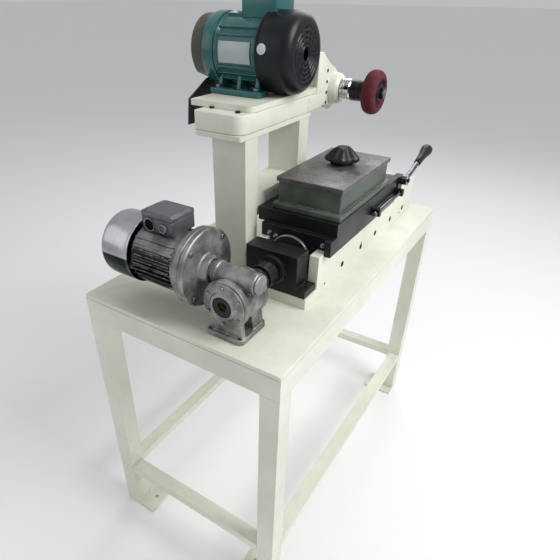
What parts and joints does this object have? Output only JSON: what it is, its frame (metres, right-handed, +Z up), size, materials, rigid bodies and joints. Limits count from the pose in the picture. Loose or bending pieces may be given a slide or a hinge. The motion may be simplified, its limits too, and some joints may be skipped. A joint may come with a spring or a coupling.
{
  "type": "faceting machine",
  "caption": "Motor-driven faceting and grinding machine: an overhung wheel spindle on a column above a screw-driven work slide, on a welded tube table.",
  "frame": {"origin": "On the floor, under the middle of the table's footprint.", "axes": "+Z is up, +Y runs along the table from the gear motor end to the far end of the slide bed, and +X points from the column side to the slide side, the way the wheel spindle points."},
  "size_m": [0.508, 0.952, 1.3167],
  "materials": {
    "cream_paint": "satin",
    "teal_paint": "gloss",
    "cowl_paint": "satin",
    "guard_paint": "satin",
    "black_enamel": "satin",
    "cast_alloy": "as cast",
    "polished_sheet": "polished",
    "turned_steel": "turned",
    "chrome_steel": "polished",
    "box_enamel": "satin",
    "lid_enamel": "worn satin",
    "wheel_compound": "matte",
    "belt_rubber": "matte",
    "gear_bronze": "satin",
    "knob_plastic": "gloss"
  },
  "bodies": {
    "machine": {"table_top": "cream_paint", "table_apron": "cream_paint", "leg_front_left": "cream_paint", "leg_front_right": "cream_paint", "leg_rear_left": "cream_paint", "leg_rear_right": "cream_paint", "rail_front": "cream_paint", "rail_rear": "cream_paint", "rail_left": "cream_paint", "rail_right": "cream_paint", "column_post_front": "cream_paint", "column_post_rear": "cream_paint", "column_cross_rail": "cream_paint", "column_cap_plate": "cream_paint", "head_casting": "cream_paint", "spindle_bearing_front": "turned_steel", "spindle_bearing_rear": "turned_steel", "drive_belt": "belt_rubber", "belt_guard_back": "black_enamel", "belt_guard_cover": "guard_paint", "motor_plate": "cream_paint", "motor_frame": "teal_paint", "motor_end_bell": "teal_paint", "motor_fan_cowl": "cowl_paint", "motor_terminal_box": "teal_paint", "motor_terminal_lid": "teal_paint", "gearbox_case": "cast_alloy", "gearbox_cover": "cast_alloy", "worm_end_cap": "cast_alloy", "feed_motor_body": "cast_alloy", "feed_motor_cowl": "polished_sheet", "feed_terminal_box": "cast_alloy", "feed_terminal_lid": "cast_alloy", "slide_bed": "cream_paint", "bearing_block": "black_enamel", "screw_bearing": "turned_steel"},
    "slide": {"slide_table": "black_enamel", "gib_strip": "turned_steel", "feed_nut": "turned_steel", "work_box": "box_enamel", "trip_rod": "chrome_steel", "lever_bracket": "black_enamel"},
    "lid": {"box_lid": "lid_enamel"},
    "knob": {"clamp_knob": "knob_plastic"},
    "screw": {"lead_screw": "turned_steel", "shaft_coupling": "black_enamel", "worm_wheel": "gear_bronze"},
    "worm": {"worm_shaft": "turned_steel", "feed_motor_rotor": "turned_steel"},
    "motor_drive": {"motor_rotor": "turned_steel", "motor_fan": "cowl_paint", "motor_pulley": "cast_alloy"},
    "spindle": {"spindle_shaft": "turned_steel", "spindle_nose_ring": "chrome_steel", "wheel_flange": "black_enamel", "grinding_wheel": "wheel_compound", "wheel_nut": "turned_steel", "spindle_pulley": "cast_alloy"},
    "lever": {"hand_lever": "chrome_steel", "lever_grip": "knob_plastic"}
  },
  "joints": [
    {"name": "slide_travel", "type": "slide", "parent": "machine", "child": "slide", "axis": [0, 1, 0], "range_m": [0, 0.18]},
    {"name": "screw_spin", "type": "hinge", "parent": "machine", "child": "screw", "pos_m": [0.104, 0, 0.811], "axis": [0, 1, 0], "continuous": true},
    {"name": "worm_spin", "type": "hinge", "parent": "machine", "child": "worm", "pos_m": [0.104, -0.397, 0.854], "axis": [1, 0, 0], "continuous": true},
    {"name": "motor_spin", "type": "hinge", "parent": "machine", "child": "motor_drive", "pos_m": [-0.1, -0.027, 1.1913], "axis": [1, 0, 0], "continuous": true},
    {"name": "spindle_spin", "type": "hinge", "parent": "machine", "child": "spindle", "pos_m": [0, 0.193, 1.096], "axis": [1, 0, 0], "continuous": true},
    {"name": "lid_lift", "type": "slide", "parent": "slide", "child": "lid", "axis": [0, 0, 1], "range_m": [0, 0.03]},
    {"name": "knob_turn", "type": "hinge", "parent": "lid", "child": "knob", "pos_m": [0.112, 0.026, 0.965], "axis": [0, 0, 1], "continuous": true},
    {"name": "lever_swing", "type": "hinge", "parent": "slide", "child": "lever", "pos_m": [0.21315, 0.23, 0.886], "axis": [1, 0, 0], "range_deg": [-25, 25]}
  ],
  "couplings": [
    {"joint": "screw_spin", "follows": "slide_travel", "rad_per_m": -628.32},
    {"joint": "spindle_spin", "follows": "motor_spin", "ratio": 1.3571}
  ]
}
